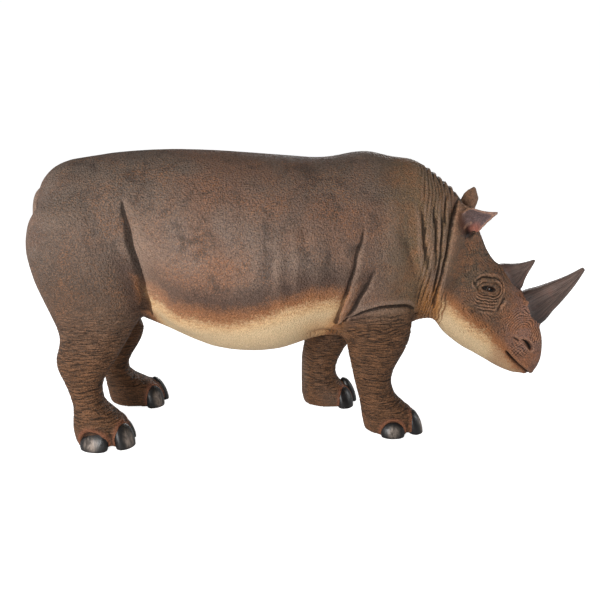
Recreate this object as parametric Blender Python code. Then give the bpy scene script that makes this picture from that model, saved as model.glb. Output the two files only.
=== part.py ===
"""A life-size statue of a standing rhinoceros, as named solids, in metres.

+X is the way the animal faces, +Y is its left, +Z is up and the floor is z = 0. The flesh is modelled
whole, from lofted forms that a voxel remesh fuses, and is then parted by thin cuts into head, lower jaw,
neck, trunk and legs. Horns, ears, eyes, tail and toenails are pieces of their own, each set in a socket.
"""

import math
from collections import namedtuple

import bmesh
import bpy
import numpy as np
from mathutils import Matrix, Vector

# Driving dimensions
WITHERS = 1.662  # top of the shoulder hump
CUT = 0.0008  # how far a cutter is grown, which leaves a gap of 0.4 to 0.8 mm
RING_STEP = 0.05  # distance between the rings of a loft
VOXEL = 0.021  # size of the remesh that fuses the flesh
SOFTEN = 9  # rounds of smoothing that blend each form into the next
FLESH_TRIANGLES = 3300
MERGE = 0.0001  # corners closer than this are one
SINK = 0.07  # how far the leg forms run below the floor before the soles are cut flat

# The head is turned a little to the animal's right, about an upright axis through the neck.
HEAD_TURN = math.radians(-8)
HEAD_PIVOT = Vector((0.80, 0.0, 0.0))

RIGHT, LEFT = -1, 1

# A toenail's place on its foot, as degrees outward from straight ahead, and its width and height.
Toe = namedtuple("Toe", "name bearing width height")
FORE_TOES = (
    Toe("outer", 92, 0.145, 0.090),
    Toe("middle", 22, 0.120, 0.128),
    Toe("inner", -46, 0.120, 0.118),
)
HIND_TOES = (
    Toe("outer", 108, 0.174, 0.104),
    Toe("middle", 36, 0.132, 0.126),
    Toe("inner", -45, 0.128, 0.124),
)
FOOT_LENGTH, FOOT_WIDTH = 0.148, 0.102  # from the middle of a foot to the nails ahead and beside it
NAIL_DEPTH = 0.042  # half the thickness of the rounded form that a nail is cut from
NAIL_LEAN = math.radians(-18)  # its top leans back against the foot
NAIL_MIDDLE, NAIL_RISE = 0.30, 0.78  # height of the form's middle and its upward reach, in nail heights

Finish = namedtuple("Finish", "colour roughness metallic")
HIDE = Finish((0.150, 0.105, 0.080), 0.62, 0.0)
EAR_FINISH = Finish((0.190, 0.110, 0.095), 0.55, 0.0)
HORN = Finish((0.055, 0.045, 0.042), 0.45, 0.0)
NAIL = Finish((0.030, 0.026, 0.026), 0.40, 0.0)
EYE = Finish((0.020, 0.010, 0.006), 0.08, 0.0)

# One ring of a loft. upper and lower are the (x, z) points where it meets the outline, widest is the share
# of the way up where it is widest, and fullness is 2 for an ellipse and more for a squarer ring.
Section = namedtuple("Section", "upper lower half_width y widest fullness", defaults=(0.0, 0.5, 2.0))

TRUNK = (
    Section((-1.625, 1.40), (-1.605, 1.28), 0.07),
    Section((-1.600, 1.49), (-1.560, 1.08), 0.17),
    Section((-1.530, 1.574), (-1.470, 0.90), 0.30, widest=0.52),
    Section((-1.260, 1.648), (-1.240, 0.78), 0.40, widest=0.50),
    Section((-0.950, 1.678), (-0.950, 0.648), 0.425, widest=0.45),
    Section((-0.600, 1.673), (-0.600, 0.503), 0.495, widest=0.42, fullness=2.1),
    Section((-0.250, 1.649), (-0.250, 0.490), 0.510, widest=0.42, fullness=2.1),
    Section((0.030, 1.632), (0.010, 0.562), 0.470, widest=0.44),
    Section((0.290, WITHERS + 0.006), (0.260, 0.550), 0.415, widest=0.46),
    Section((0.440, 1.632), (0.400, 0.575), 0.385, widest=0.48),
    Section((0.560, 1.620), (0.520, 0.605), 0.345, widest=0.50),
    Section((0.730, 1.498), (0.625, 0.645), 0.290, widest=0.50),
    Section((0.848, 1.390), (0.700, 0.648), 0.235, widest=0.50),
    Section((0.900, 1.250), (0.780, 0.690), 0.170),
)
HEAD = (
    Section((0.800, 1.290), (0.690, 0.760), 0.13),
    Section((0.900, 1.312), (0.745, 0.592), 0.175, widest=0.45),
    Section((0.970, 1.208), (0.832, 0.510), 0.190, widest=0.45),
    Section((1.024, 1.080), (0.912, 0.450), 0.185, widest=0.50),
    Section((1.100, 0.980), (0.995, 0.410), 0.172, widest=0.60),
    Section((1.180, 0.895), (1.075, 0.358), 0.145, widest=0.62),
    Section((1.262, 0.795), (1.155, 0.314), 0.122, widest=0.55),
    Section((1.335, 0.690), (1.230, 0.290), 0.118, widest=0.50),
    Section((1.380, 0.590), (1.290, 0.292), 0.118, widest=0.50),
    Section((1.399, 0.490), (1.340, 0.308), 0.100, widest=0.50),
    Section((1.396, 0.415), (1.380, 0.350), 0.050),
)
# A leg's upper points are its front outline and its lower ones the back; y is outward from the middle.
FORE_SHOULDER = (
    Section((0.440, 1.020), (0.120, 1.000), 0.120, 0.200),
    Section((0.520, 0.830), (0.118, 0.800), 0.150, 0.228),
    Section((0.540, 0.690), (0.132, 0.680), 0.150, 0.235),
    Section((0.532, 0.580), (0.145, 0.580), 0.138, 0.232),
)
FORE_SHANK_RIGHT = (
    Section((0.490, 0.490), (0.160, 0.495), 0.122, 0.228),
    Section((0.442, 0.400), (0.183, 0.400), 0.112, 0.226),
    Section((0.430, 0.310), (0.205, 0.300), 0.106, 0.222),
    Section((0.470, 0.220), (0.232, 0.205), 0.112, 0.218),
    Section((0.576, 0.128), (0.246, 0.110), 0.126, 0.215, widest=0.58),
    Section((0.626, 0.045), (0.262, 0.030), 0.124, 0.215, widest=0.58),
    Section((0.608, -SINK), (0.280, -SINK), 0.112, 0.215, widest=0.58),
)
FORE_SHANK_LEFT = (
    Section((0.290, 0.490), (-0.062, 0.495), 0.122, 0.232),
    Section((0.212, 0.400), (-0.084, 0.400), 0.112, 0.232),
    Section((0.162, 0.310), (-0.094, 0.300), 0.106, 0.230),
    Section((0.140, 0.215), (-0.092, 0.205), 0.112, 0.228),
    Section((0.172, 0.150), (-0.094, 0.140), 0.122, 0.228, widest=0.58),
    Section((0.258, 0.096), (-0.094, 0.080), 0.124, 0.228, widest=0.58),
    Section((0.272, 0.020), (-0.084, 0.020), 0.122, 0.228, widest=0.58),
    Section((0.258, -SINK), (-0.066, -SINK), 0.112, 0.228, widest=0.58),
)
HIND_HAUNCH = (
    Section((-1.180, 1.500), (-1.430, 1.480), 0.110, 0.150),
    Section((-1.040, 1.360), (-1.580, 1.370), 0.180, 0.215),
    Section((-1.000, 1.160), (-1.645, 1.200), 0.205, 0.240),
    Section((-0.975, 0.960), (-1.620, 1.010), 0.195, 0.265),
    Section((-1.012, 0.780), (-1.545, 0.820), 0.168, 0.290),
    Section((-1.102, 0.630), (-1.485, 0.650), 0.136, 0.305),
)
HIND_SHANK_RIGHT = (
    Section((-1.180, 0.500), (-1.526, 0.505), 0.114, 0.312),
    Section((-1.256, 0.385), (-1.478, 0.371), 0.104, 0.312),
    Section((-1.257, 0.262), (-1.444, 0.245), 0.106, 0.308),
    Section((-1.145, 0.150), (-1.462, 0.115), 0.130, 0.302, widest=0.54),
    Section((-1.108, 0.050), (-1.450, 0.030), 0.128, 0.302, widest=0.54),
    Section((-1.126, -SINK), (-1.430, -SINK), 0.116, 0.302, widest=0.54),
)
HIND_SHANK_LEFT = (
    Section((-1.105, 0.510), (-1.500, 0.500), 0.114, 0.310),
    Section((-1.160, 0.395), (-1.448, 0.380), 0.104, 0.308),
    Section((-1.218, 0.310), (-1.418, 0.300), 0.104, 0.306),
    Section((-1.238, 0.235), (-1.400, 0.230), 0.106, 0.304),
    Section((-1.115, 0.168), (-1.390, 0.140), 0.120, 0.302, widest=0.56),
    Section((-1.010, 0.118), (-1.385, 0.090), 0.124, 0.302, widest=0.56),
    Section((-0.994, 0.030), (-1.375, 0.030), 0.122, 0.302, widest=0.56),
    Section((-1.008, -SINK), (-1.355, -SINK), 0.112, 0.302, widest=0.56),
)

# A leg: its side of the body, its upper and lower forms, how far the upper form is swung ahead at the floor,
# the height above which it isn't, and the middle of its foot on the floor.
Leg = namedtuple("Leg", "side upper lower swing pivot foot_x foot_y")
LEGS = {
    "foreleg_right": Leg(RIGHT, FORE_SHOULDER, FORE_SHANK_RIGHT, 0.0, 1.17, 0.436, 0.215),
    "foreleg_left": Leg(LEFT, FORE_SHOULDER, FORE_SHANK_LEFT, -0.35, 1.17, 0.092, 0.228),
    "hindleg_right": Leg(RIGHT, HIND_HAUNCH, HIND_SHANK_RIGHT, 0.0, 0.90, -1.272, 0.302),
    "hindleg_left": Leg(LEFT, HIND_HAUNCH, HIND_SHANK_LEFT, -0.12, 1.00, -1.166, 0.302),
}
FRONT_HORN = (
    Section((1.205, 0.790), (1.330, 0.590), 0.088),
    Section((1.258, 0.829), (1.390, 0.627), 0.086),
    Section((1.335, 0.854), (1.437, 0.695), 0.066),
    Section((1.413, 0.885), (1.484, 0.755), 0.049),
    Section((1.510, 0.927), (1.550, 0.850), 0.029),
    Section((1.600, 0.982), (1.614, 0.962), 0.009),
)
REAR_HORN = (
    Section((1.070, 0.960), (1.200, 0.800), 0.074),
    Section((1.107, 0.994), (1.248, 0.842), 0.071),
    Section((1.180, 0.993), (1.258, 0.893), 0.048),
    Section((1.245, 1.002), (1.284, 0.953), 0.026),
    Section((1.311, 1.024), (1.318, 1.014), 0.007),
)
TAIL = (
    Section((-1.560, 1.500), (-1.560, 1.380), 0.060),
    Section((-1.640, 1.440), (-1.590, 1.350), 0.052),
    Section((-1.668, 1.330), (-1.598, 1.300), 0.042),
    Section((-1.664, 1.180), (-1.604, 1.180), 0.030),
    Section((-1.650, 1.000), (-1.602, 1.000), 0.025),
    Section((-1.632, 0.860), (-1.588, 0.860), 0.026),
    Section((-1.622, 0.760), (-1.574, 0.760), 0.036),
    Section((-1.604, 0.680), (-1.572, 0.680), 0.020),
)

# Muscles and bones that swell the outline: centre, radii and tilt in degrees about Y.
Swelling = namedtuple("Swelling", "centre radii tilt")
BODY_SWELLINGS = (
    Swelling((0.300, 0.270, 1.060), (0.200, 0.150, 0.400), 10),  # shoulder blade
    Swelling((-0.560, 0.300, 0.930), (0.420, 0.190, 0.300), 0),  # belly
)
HEAD_SWELLINGS = (
    Swelling((0.875, 0.115, 1.265), (0.070, 0.048, 0.085), 0),  # root of the ear
    Swelling((1.030, 0.112, 0.890), (0.110, 0.058, 0.075), 40),  # brow and cheekbone
    Swelling((0.860, 0.105, 0.800), (0.120, 0.090, 0.190), -20),  # jaw muscle
    Swelling((1.310, 0.070, 0.510), (0.090, 0.060, 0.080), 45),  # nostril pad
)

# An ear: where its root is, its lift, its swing outward and its roll in degrees, half its width, and how
# blunt its tip is.
Ear = namedtuple("Ear", "name root lift outward roll half_width bluntness")
EAR_RIGHT = Ear("ear_right", (0.850, -0.170, 1.240), 22, 19, -104, 0.065, 1.10)
EAR_LEFT = Ear("ear_left", (0.866, 0.156, 1.244), 64, 22, -100, 0.056, 3.0)
EAR_LENGTH, EAR_TIP, EAR_WALL = 0.215, 0.005, 0.013
EAR_CURL, EAR_UNCURL = 150, 80  # degrees that it is curled round at the root, and how far it opens by the tip
EAR_START, EAR_SHOULDER, EAR_TAPER_FROM = 0.25, 0.25, 0.30  # shares of its length that its widths follow

EYE_CENTRE, EYE_RADIUS = Vector((1.030, 0.150, 0.868)), 0.0235

# Cutting outlines in (x, z), on the outer face of a cutter and, for the legs, on its inner face.
FAR = 2.2
NECK_FRONT = ((0.850, 1.50), (0.785, 1.33), (0.735, 0.62), (0.720, 0.45))
NECK_BACK = ((0.640, 1.75), (0.540, 1.30), (0.530, 0.80), (0.600, 0.45))
MOUTH = ((1.380, 0.230), (1.285, 0.346), (1.160, 0.468), (0.900, 0.600), (0.740, 0.540), (0.900, 0.150))
FORE_CUT = (
    ((-0.60, 0.620), (0.130, 0.700), (0.350, 0.775), (0.700, 0.815), (0.70, -0.20), (-0.60, -0.20)),
    ((-0.60, 0.440), (0.130, 0.470), (0.350, 0.500), (0.700, 0.520), (0.70, -0.20), (-0.60, -0.20)),
)
HIND_CUT = (
    ((-1.9, 1.64), (-1.085, 1.58), (-1.045, 1.25), (-0.98, 0.9), (-0.92, 0.6), (-0.92, -0.2), (-1.9, -0.2)),
    ((-1.9, 1.28), (-1.085, 1.22), (-1.045, 1.05), (-0.98, 0.8), (-0.92, 0.55), (-0.92, -0.2), (-1.9, -0.2)),
)
OUTER_Y, INNER_Y = 0.80, 0.085


def clear_scene():
    for item in list(bpy.data.objects):
        bpy.data.objects.remove(item)


def paint(item, finish):
    """Gives a piece its own Principled material."""
    material = bpy.data.materials.new(item.name)
    material.use_nodes = True
    shader = material.node_tree.nodes["Principled BSDF"]
    shader.inputs["Base Color"].default_value = (*finish.colour, 1)
    shader.inputs["Roughness"].default_value = finish.roughness
    shader.inputs["Metallic"].default_value = finish.metallic
    item.data.materials.clear()
    item.data.materials.append(material)


def add_object(name, form):
    """A bmesh as an object of that name, its faces turned outwards."""
    bmesh.ops.recalc_face_normals(form, faces=form.faces[:])
    if form.calc_volume(signed=True) < 0:
        bmesh.ops.reverse_faces(form, faces=form.faces[:])
    mesh = bpy.data.meshes.new(name)
    form.to_mesh(mesh)
    form.free()
    item = bpy.data.objects.new(name, mesh)
    bpy.context.scene.collection.objects.link(item)
    return item


def apply_modifiers(item):
    bpy.context.view_layer.update()
    shaped = item.evaluated_get(bpy.context.evaluated_depsgraph_get())
    mesh = bpy.data.meshes.new_from_object(shaped)
    item.modifiers.clear()
    item.data = mesh


def copy_of(item, name):
    twin = bpy.data.objects.new(name, item.data.copy())
    bpy.context.scene.collection.objects.link(twin)
    return twin


def flowing(sections):
    """Rows of section values along a smooth curve through the sections, about RING_STEP apart."""
    rows = [[*s.upper, *s.lower, s.half_width, s.y, s.widest, s.fullness] for s in sections]
    values = np.array(rows)
    middles = (values[:, 0:2] + values[:, 2:4]) / 2
    gaps = np.linalg.norm(np.diff(middles, axis=0), axis=1)
    slopes = np.gradient(values, np.concatenate([[0], np.cumsum(gaps)]), axis=0)
    for i, gap in enumerate(gaps):
        steps = max(2, round(gap / RING_STEP))
        for t in np.arange(steps) / steps:
            start = (1 + 2 * t) * (1 - t) ** 2 * values[i] + t * t * (3 - 2 * t) * values[i + 1]
            yield start + gap * (t * (1 - t) ** 2 * slopes[i] - t * t * (1 - t) * slopes[i + 1])
    yield values[-1]


def ring(row, around):
    """The points of one section, as a ring of two half superellipses that meet where it is widest."""
    upper, lower = Vector((row[0], 0, row[1])), Vector((row[2], 0, row[3]))
    half_width, y, widest, fullness = row[4:]
    for i in range(around):
        turn = math.tau * i / around
        across = math.copysign(abs(math.sin(turn)) ** (2 / fullness), math.sin(turn))
        rise = math.copysign(abs(math.cos(turn)) ** (2 / fullness), math.cos(turn))
        share = widest + rise * (1 - widest if rise > 0 else widest)
        yield lower.lerp(upper, share) + Vector((0, y + half_width * across, 0))


def loft(name, sections, around=32):
    """A closed skin over the smooth run of sections."""
    form = bmesh.new()
    rings = [[form.verts.new(point) for point in ring(row, around)] for row in flowing(sections)]
    for here, there in zip(rings, rings[1:]):
        for i in range(around):
            after = (i + 1) % around
            form.faces.new((here[i], here[after], there[after], there[i]))
    form.faces.new(rings[0])
    form.faces.new(rings[-1])
    return add_object(name, form)


def swelling(name, shape, side):
    """An ellipsoid on one side of the body."""
    form = bmesh.new()
    place = Matrix.Translation((shape.centre[0], side * shape.centre[1], shape.centre[2]))
    turn = Matrix.Rotation(math.radians(shape.tilt), 4, "Y")
    size = Matrix.Diagonal((*shape.radii, 1))
    bmesh.ops.create_uvsphere(form, u_segments=24, v_segments=16, radius=1, matrix=place @ turn @ size)
    return add_object(name, form)


def turned_head(item):
    """Turns a piece that was modelled on the straight head to where the turned head holds it."""
    turn = Matrix.Rotation(HEAD_TURN, 4, "Z")
    item.data.transform(Matrix.Translation(HEAD_PIVOT) @ turn @ Matrix.Translation(-HEAD_PIVOT))
    return item


def leg_form(leg):
    """A whole leg on its own side, its upper part swung to meet the shank."""
    sections = []
    for section in leg.upper:
        height = (section.upper[1] + section.lower[1]) / 2
        shift = leg.swing * max(0.0, 1 - height / leg.pivot)
        front = (section.upper[0] + shift, section.upper[1])
        back = (section.lower[0] + shift, section.lower[1])
        sections.append(section._replace(upper=front, lower=back))
    sections.extend(leg.lower)
    return loft("leg_form", [section._replace(y=leg.side * section.y) for section in sections])


def fuse(forms, name):
    """One blended skin round overlapping forms, with the soles cut flat at the floor."""
    joined = bmesh.new()
    for form in forms:
        joined.from_mesh(form.data)
        bpy.data.objects.remove(form)
    body = add_object(name, joined)
    remesh = body.modifiers.new("Fuse", "REMESH")
    remesh.mode = "VOXEL"
    remesh.voxel_size = VOXEL
    soften = body.modifiers.new("Soften", "SMOOTH")
    soften.factor = 0.5
    soften.iterations = SOFTEN
    apply_modifiers(body)
    thin = body.modifiers.new("Thin", "DECIMATE")
    thin.ratio = FLESH_TRIANGLES / (2 * len(body.data.polygons))
    apply_modifiers(body)
    return body


def boolean(item, other, operation):
    """Cuts or keeps item by other, and applies it."""
    step = item.modifiers.new(operation.title(), "BOOLEAN")
    step.operation = operation
    step.object = other
    apply_modifiers(item)


def grown(item, by=CUT):
    """A copy of a cutter that is larger all round, to leave a thin gap."""
    bigger = copy_of(item, item.name + "_grown")
    swell = bigger.modifiers.new("Grow", "DISPLACE")
    swell.mid_level = 0
    swell.strength = by
    apply_modifiers(bigger)
    return bigger


def socket(item, piece):
    """Cuts the place where a piece sits out of item, with a gap all round."""
    cutter = grown(piece)
    boolean(item, cutter, "DIFFERENCE")
    bpy.data.objects.remove(cutter)


def wedge(name, outer, inner, outer_y, inner_y):
    """A block between one outline at outer_y and another, of as many points, at inner_y."""
    form = bmesh.new()
    sides = [
        [form.verts.new((x, y, z)) for x, z in outline]
        for outline, y in ((outer, outer_y), (inner, inner_y))
    ]
    count = len(outer)
    for i in range(count):
        after = (i + 1) % count
        form.faces.new((sides[0][i], sides[0][after], sides[1][after], sides[1][i]))
    form.faces.new(sides[0])
    form.faces.new(sides[1])
    bmesh.ops.triangulate(form, faces=form.faces[:])
    return add_object(name, form)


def keep_above_floor(item):
    """Cuts a piece flat at z = 0."""
    outline = ((-FAR, 0), (FAR, 0), (FAR, -FAR), (-FAR, -FAR))
    floor = wedge("floor", outline, outline, FAR, -FAR)
    boolean(item, floor, "DIFFERENCE")
    bpy.data.objects.remove(floor)


def part(body, cutter, name):
    """Takes the share of body inside the cutter out as a piece of its own, and leaves body without it."""
    piece = copy_of(body, name)
    boolean(piece, cutter, "INTERSECT")
    socket(body, cutter)
    bpy.data.objects.remove(cutter)
    return piece


def ahead_of(name, line):
    """A cutter that holds all that is forward of a line down the body."""
    outline = (*line, (FAR, -FAR), (FAR, FAR))
    return wedge(name, outline, outline, FAR, -FAR)


def toenails(leg, leg_name):
    """Three blunt nails round the front and outer side of a foot, flat on the floor."""
    for toe in HIND_TOES if "hind" in leg_name else FORE_TOES:
        bearing = math.radians(toe.bearing)
        x = leg.foot_x + FOOT_LENGTH * math.cos(bearing)
        y = leg.foot_y + FOOT_WIDTH * math.sin(bearing)
        form = bmesh.new()
        place = Matrix.Translation((x, leg.side * y, toe.height * NAIL_MIDDLE))
        turn = Matrix.Rotation(leg.side * bearing, 4, "Z") @ Matrix.Rotation(NAIL_LEAN, 4, "Y")
        size = Matrix.Diagonal((NAIL_DEPTH, toe.width / 2, toe.height * NAIL_RISE, 1))
        bmesh.ops.create_uvsphere(form, u_segments=9, v_segments=6, radius=1, matrix=place @ turn @ size)
        nail = add_object(f"nail_{leg_name.replace('leg', '')}_{toe.name}", form)
        keep_above_floor(nail)
        yield nail


def ear(shape, side):
    """A thick leaf curled round its length like a scoop that opens outward."""
    rows, columns = 7, 5
    form = bmesh.new()
    grid = []
    for i in range(rows + 1):
        along = i / rows
        swell = math.sin(math.pi / 2 * min(1.0, (along + EAR_START) / (EAR_SHOULDER + EAR_START)))
        taper = 1 - max(0.0, (along - EAR_TAPER_FROM) / (1 - EAR_TAPER_FROM)) ** shape.bluntness
        half = max(shape.half_width * swell * taper, EAR_TIP)
        curl = math.radians(EAR_CURL - EAR_UNCURL * along)
        radius = half / math.sin(curl / 2)
        grid.append([
            form.verts.new((
                EAR_LENGTH * along,
                radius * math.sin(curl * (j / columns - 0.5)),
                radius * (1 - math.cos(curl * (j / columns - 0.5))) - half,
            ))
            for j in range(columns + 1)
        ])
    for here, there in zip(grid, grid[1:]):
        for j in range(columns):
            form.faces.new((here[j], here[j + 1], there[j + 1], there[j]))
    leaf = add_object(shape.name, form)
    thicken = leaf.modifiers.new("Wall", "SOLIDIFY")
    thicken.thickness = EAR_WALL
    thicken.offset = 0
    apply_modifiers(leaf)
    aim = (
        Matrix.Translation(shape.root)
        @ Matrix.Rotation(math.radians(side * shape.outward), 4, "Z")
        @ Matrix.Rotation(math.radians(-shape.lift), 4, "Y")
        @ Matrix.Rotation(math.radians(side * shape.roll), 4, "X")
    )
    leaf.data.transform(aim)
    return turned_head(leaf)


def eyeball(name, side):
    form = bmesh.new()
    place = Matrix.Translation((EYE_CENTRE.x, side * EYE_CENTRE.y, EYE_CENTRE.z))
    bmesh.ops.create_uvsphere(form, u_segments=12, v_segments=8, radius=EYE_RADIUS, matrix=place)
    return turned_head(add_object(name, form))


def flesh():
    """The whole body, without horns, ears, eyes, tail and nails."""
    forms = [loft("trunk_form", TRUNK, 40), turned_head(loft("head_form", HEAD))]
    for side in (RIGHT, LEFT):
        forms += [swelling("swelling", shape, side) for shape in BODY_SWELLINGS]
        forms += [turned_head(swelling("swelling", shape, side)) for shape in HEAD_SWELLINGS]
    forms += [leg_form(leg) for leg in LEGS.values()]
    body = fuse(forms, "trunk")
    keep_above_floor(body)
    return body


def stand_on_origin(items):
    """Moves the whole statue so that the middle of its length and width is over the origin."""
    corners = [corner for item in items for corner in item.bound_box]
    shift = Vector()
    for axis in (0, 1):
        places = [corner[axis] for corner in corners]
        shift[axis] = -(min(places) + max(places)) / 2
    for item in items:
        item.data.transform(Matrix.Translation(shift))


def set_in(piece, finish, *hosts):
    """Cuts a piece's socket in the flesh it grows from, and gives the piece its finish."""
    tidy_facets(piece, 0)
    for host in hosts:
        socket(host, piece)
    paint(piece, finish)


def tidy_facets(item, flatter_than):
    """Splits a piece into triangles, after merging facets that are within so many degrees of one plane."""
    limit = math.radians(flatter_than)
    form = bmesh.new()
    form.from_mesh(item.data)
    bmesh.ops.remove_doubles(form, verts=form.verts[:], dist=MERGE)
    if limit:
        bmesh.ops.dissolve_limit(form, angle_limit=limit, verts=form.verts[:], edges=form.edges[:])
    bmesh.ops.triangulate(form, faces=form.faces[:])
    form.to_mesh(item.data)
    form.free()


def main():
    clear_scene()
    trunk = flesh()
    head = part(trunk, turned_head(ahead_of("head_cut", NECK_FRONT)), "head")
    jaw = part(head, turned_head(wedge("jaw_cut", MOUTH, MOUTH, 1, -1)), "lower_jaw")
    neck = part(trunk, ahead_of("neck_cut", NECK_BACK), "neck")
    flesh_pieces = [trunk, head, jaw, neck]
    for name, leg in LEGS.items():
        outlines = FORE_CUT if "fore" in name else HIND_CUT
        cutter = wedge("leg_cut", *outlines, leg.side * OUTER_Y, leg.side * INNER_Y)
        flesh_pieces.append(part(trunk, cutter, name))
    for piece in flesh_pieces:
        tidy_facets(piece, 2.5)

    set_in(turned_head(loft("front_horn", FRONT_HORN, 16)), HORN, head)
    set_in(turned_head(loft("rear_horn", REAR_HORN, 16)), HORN, head)
    set_in(ear(EAR_RIGHT, RIGHT), EAR_FINISH, head)
    set_in(ear(EAR_LEFT, LEFT), EAR_FINISH, head)
    set_in(eyeball("eye_right", RIGHT), EYE, head)
    set_in(eyeball("eye_left", LEFT), EYE, head)
    set_in(loft("tail", TAIL, 10), HIDE, trunk)
    for leg in flesh_pieces[4:]:
        for nail in toenails(LEGS[leg.name], leg.name):
            set_in(nail, NAIL, leg)
    for piece in flesh_pieces:
        tidy_facets(piece, 0.05)
        paint(piece, HIDE)
    stand_on_origin(bpy.data.objects)
    for item in bpy.data.objects:
        item.data.shade_smooth()
        item.data.set_sharp_from_angle(angle=math.radians(40))


main()
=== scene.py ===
"""The finish of a life-size rhinoceros statue: one sculpted and painted skin over the flesh, its horns,
nails and eyes, and the studio it stands in. Metres, +X ahead, +Y the animal's left, +Z up."""

import math
from collections import namedtuple

import bpy
import numpy as np
from mathutils import Matrix, Vector


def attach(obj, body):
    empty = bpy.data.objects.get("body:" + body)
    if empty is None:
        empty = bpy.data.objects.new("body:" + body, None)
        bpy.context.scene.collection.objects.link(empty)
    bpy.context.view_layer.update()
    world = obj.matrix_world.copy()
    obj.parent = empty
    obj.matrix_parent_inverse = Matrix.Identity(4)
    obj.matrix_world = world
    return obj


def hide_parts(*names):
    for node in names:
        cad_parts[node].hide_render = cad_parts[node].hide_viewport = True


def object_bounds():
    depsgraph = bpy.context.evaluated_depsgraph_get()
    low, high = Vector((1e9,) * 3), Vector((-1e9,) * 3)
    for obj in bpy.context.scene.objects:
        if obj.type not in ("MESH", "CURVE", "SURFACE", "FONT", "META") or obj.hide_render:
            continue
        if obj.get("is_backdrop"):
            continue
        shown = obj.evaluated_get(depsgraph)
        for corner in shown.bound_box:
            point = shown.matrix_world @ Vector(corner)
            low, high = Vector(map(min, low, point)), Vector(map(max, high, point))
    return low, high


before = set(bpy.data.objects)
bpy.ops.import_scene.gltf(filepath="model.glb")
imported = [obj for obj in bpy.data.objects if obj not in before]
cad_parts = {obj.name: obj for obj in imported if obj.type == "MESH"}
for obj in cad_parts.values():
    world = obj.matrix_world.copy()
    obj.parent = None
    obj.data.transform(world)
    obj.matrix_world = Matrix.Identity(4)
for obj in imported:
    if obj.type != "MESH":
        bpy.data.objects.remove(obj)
CAD_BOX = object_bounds()

RIGHT, LEFT = -1, 1
SIDES = {"right": RIGHT, "left": LEFT}
NAILS = [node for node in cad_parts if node.startswith("nail_")]
FLESH = ["trunk", "neck", "head", "lower_jaw",
         "foreleg_right", "foreleg_left", "hindleg_right", "hindleg_left"]
THIN_FLESH = ["ear_right", "ear_left", "tail"]

# The head is turned about an upright axis; shapes on it are given as if it looked straight ahead.
HEAD_TURN = Matrix.Rotation(math.radians(-8), 3, "Z")
HEAD_PIVOT = Vector((0.8325, 0, 0))

FORM_VOXEL, FORM_SOFTEN = 0.018, 14  # the remesh that melts the flesh solids into one form
SKIN_VOXEL, SKIN_SOFTEN = 0.0068, 3  # the remesh that carries the folds
SKIN_TRIANGLES = 186000

# The middle of each foot, and its toes: degrees outward from ahead, and the nail's width and height.
FEET = {
    "fore_right": (0.4685, 0.215), "fore_left": (0.1245, 0.228),
    "hind_right": (-1.2395, 0.302), "hind_left": (-1.1335, 0.302),
}
Toe = namedtuple("Toe", "name bearing width height")
TOES = {
    "fore": (Toe("outer", 92, 0.145, 0.09), Toe("middle", 22, 0.122, 0.132), Toe("inner", -46, 0.122, 0.122)),
    "hind": (Toe("outer", 108, 0.174, 0.104), Toe("middle", 36, 0.134, 0.13), Toe("inner", -45, 0.13, 0.128)),
}
TALL_MIDDLE = {"fore": 1.16, "hind": 1.14}  # the middle nails of the left feet stand taller
FOOT_LENGTH, FOOT_WIDTH = 0.148, 0.102
NAIL_DEPTH = 0.042
NAIL_LEAN = math.radians(-18)
NAIL_MIDDLE, NAIL_RISE = 0.3, 0.78
NAIL_FULLNESS = 2.15  # 2 is a ball, more has fuller shoulders
SHADED_NAIL_PALENESS = 0.12  # the share of the pale paint left on the nails that face away, as painted shade

Ear = namedtuple("Ear", "root lift outward roll length half_width")
EARS = {
    "right": Ear((0.8825, 0.17, 1.24), 22, 19, -104, 0.215, 0.065),
    "left": Ear((0.8985, 0.156, 1.244), 64, 22, -100, 0.215, 0.056),
}
EYE = Vector((1.0625, 0.15, 0.868))
EYE_RADIUS = 0.0235
EYE_TILT = math.radians(-10)  # the slit runs down toward the front
EYE_BACK, EYE_FRONT = -0.05, 0.033  # the corners of the slit, along it from the eye's middle
EYE_UP, EYE_DOWN = 0.017, 0.0145  # half heights of the slit
RING_FADE = 22  # degrees over which a ring round the eye fades in or out

# Folds, as lines on the animal's side, in metres ahead and up. An overlap has a steep wall on the left of
# its run. Ease is the share of its length over which a fold begins, and over which it ends.
Groove = namedtuple("Groove", "line depth width lip ease", defaults=(0, (0.3, 0.3)))
Overlap = namedtuple("Overlap", Groove._fields)
FOLD_WALL = 0.01
FLANK_FOLD = ((-1.05, 1.47), (-1.035, 1.38), (-1.0, 1.24), (-0.963, 1.07), (-0.932, 0.89), (-0.93, 0.74))
SHOULDER_FOLD = ((0.245, 1.37), (0.25, 1.29), (0.238, 1.21), (0.185, 0.99), (0.128, 0.78), (0.108, 0.7))
ARM_FOLD = ((0.325, 1.1), (0.298, 1.0), (0.226, 0.85), (0.152, 0.71))
ELBOW_FOLD = ((0.12, 0.69), (0.182, 0.753), (0.32, 0.812), (0.43, 0.824), (0.52, 0.812), (0.59, 0.769))
JAW_FOLD = ((0.85, 1.4), (0.801, 1.31), (0.753, 1.09), (0.732, 0.98), (0.715, 0.85), (0.714, 0.72))
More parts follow.
